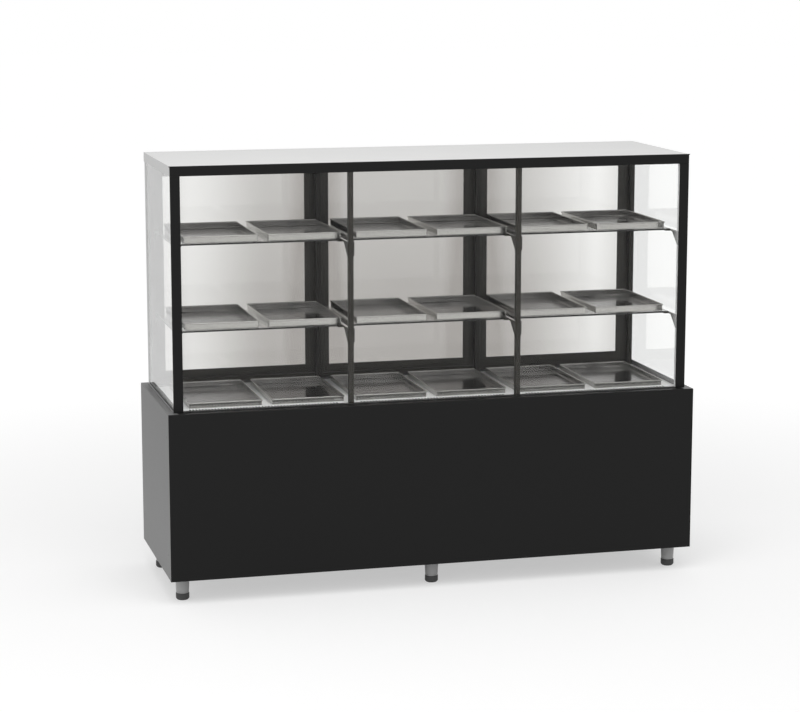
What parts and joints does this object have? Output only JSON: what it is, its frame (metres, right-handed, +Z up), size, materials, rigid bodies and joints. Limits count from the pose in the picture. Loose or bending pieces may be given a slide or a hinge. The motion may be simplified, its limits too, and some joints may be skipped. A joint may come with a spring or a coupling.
{
  "type": "pastry display case",
  "caption": "Glass-fronted pastry display case on a closed base, with glass shelves, trays, sliding rear doors, sliding storage doors and adjustable feet",
  "frame": {"origin": "on the floor, under the middle of the footprint", "axes": "+X to the right seen from the front, front faces -Y, +Z up"},
  "size_m": [1.9, 0.62, 1.51],
  "materials": {
    "black_panel": "satin black powder coat",
    "grey_panel": "satin mid grey powder coat",
    "light_grey_cover": "satin light grey powder coat",
    "white_deck": "smooth white powder coat",
    "black_trim": "satin black edge trim",
    "dark_upright": "satin dark grey powder coat",
    "dark_profile": "dark anodised, satin",
    "steel_channel": "natural anodised, satin",
    "zinc_steel": "zinc plated",
    "tray_steel": "smooth rolled stainless steel",
    "clear_glass": "clear float glass",
    "rubber_gasket": "matt black rubber",
    "grey_plastic": "fine-textured grey plastic",
    "dark_plastic": "dark grey plastic",
    "black_plastic": "semi-gloss black plastic",
    "lamp_lens": "frosted white plastic"
  },
  "bodies": {
    "root": {"foot_sleeves": "grey_plastic", "foot_nuts": "zinc_steel", "foot_beams": "zinc_steel", "base_floor_panel": "grey_panel", "base_front_panel": "black_panel", "base_side_panel_left": "grey_panel", "base_side_panel_right": "grey_panel", "case_screws": "dark_upright", "deck_supports": "zinc_steel", "base_rear_rail": "grey_panel", "base_rear_stile": "grey_panel", "control_panel": "grey_panel", "switch_housing": "black_plastic", "power_inlet": "black_plastic", "electrical_box": "grey_plastic", "storage_track_bottom": "dark_profile", "storage_track_top": "dark_profile", "deck_panel": "white_deck", "deck_vent_grilles": "white_deck", "front_header": "black_trim", "front_posts": "black_trim", "front_glass_gasket": "rubber_gasket", "front_glass": "clear_glass", "front_mullions": "dark_upright", "corner_standards": "steel_channel", "rear_uprights": "dark_upright", "side_glass_left": "clear_glass", "side_glass_right": "clear_glass", "side_glass_channels": "steel_channel", "top_cover": "light_grey_cover", "rear_posts": "dark_profile", "rear_track_bottom": "dark_profile", "rear_track_top": "dark_profile", "lower_shelf_brackets": "dark_upright", "upper_shelf_brackets": "dark_upright", "lower_shelf_glass": "clear_glass", "upper_shelf_glass": "clear_glass", "trays_deck": "tray_steel", "trays_middle": "tray_steel", "trays_upper": "tray_steel", "led_housings": "steel_channel", "led_diffusers": "lamp_lens"},
    "rear_door_left": {"rear_door_left_stiles": "dark_profile", "rear_door_left_rails": "dark_profile", "rear_door_left_glass": "clear_glass"},
    "rear_door_middle": {"rear_door_middle_stiles": "dark_profile", "rear_door_middle_rails": "dark_profile", "rear_door_middle_glass": "clear_glass"},
    "rear_door_right": {"rear_door_right_stiles": "dark_profile", "rear_door_right_rails": "dark_profile", "rear_door_right_glass": "clear_glass"},
    "storage_door_left": {"storage_door_left": "grey_panel"},
    "storage_door_right": {"storage_door_right": "grey_panel"},
    "light_switch": {"light_switch": "black_plastic"},
    "foot_tip_front_left": {"foot_tip_front_left": "dark_plastic"},
    "foot_tip_front_middle": {"foot_tip_front_middle": "dark_plastic"},
    "foot_tip_front_right": {"foot_tip_front_right": "dark_plastic"},
    "foot_tip_rear_left": {"foot_tip_rear_left": "dark_plastic"},
    "foot_tip_rear_middle": {"foot_tip_rear_middle": "dark_plastic"},
    "foot_tip_rear_right": {"foot_tip_rear_right": "dark_plastic"}
  },
  "joints": [
    {"name": "rear_door_left_slide", "type": "slide", "parent": "root", "child": "rear_door_left", "axis": [1, 0, 0], "range_m": [0, 1.202]},
    {"name": "rear_door_middle_slide", "type": "slide", "parent": "root", "child": "rear_door_middle", "axis": [1, 0, 0], "range_m": [-0.601, 0.601]},
    {"name": "rear_door_right_slide", "type": "slide", "parent": "root", "child": "rear_door_right", "axis": [-1, 0, 0], "range_m": [0, 1.202]},
    {"name": "storage_door_left_slide", "type": "slide", "parent": "root", "child": "storage_door_left", "axis": [1, 0, 0], "range_m": [0, 0.866]},
    {"name": "storage_door_right_slide", "type": "slide", "parent": "root", "child": "storage_door_right", "axis": [-1, 0, 0], "range_m": [0, 0.866]},
    {"name": "light_switch_rock", "type": "hinge", "parent": "root", "child": "light_switch", "pos_m": [0.90275, 0.302, 0.515], "axis": [-1, 0, 0], "range_deg": [0, 16]},
    {"name": "foot_front_left_level", "type": "slide", "parent": "root", "child": "foot_tip_front_left", "axis": [0, 0, -1], "range_m": [0, 0.015]},
    {"name": "foot_front_middle_level", "type": "slide", "parent": "root", "child": "foot_tip_front_middle", "axis": [0, 0, -1], "range_m": [0, 0.015]},
    {"name": "foot_front_right_level", "type": "slide", "parent": "root", "child": "foot_tip_front_right", "axis": [0, 0, -1], "range_m": [0, 0.015]},
    {"name": "foot_rear_left_level", "type": "slide", "parent": "root", "child": "foot_tip_rear_left", "axis": [0, 0, -1], "range_m": [0, 0.015]},
    {"name": "foot_rear_middle_level", "type": "slide", "parent": "root", "child": "foot_tip_rear_middle", "axis": [0, 0, -1], "range_m": [0, 0.015]},
    {"name": "foot_rear_right_level", "type": "slide", "parent": "root", "child": "foot_tip_rear_right", "axis": [0, 0, -1], "range_m": [0, 0.015]}
  ]
}
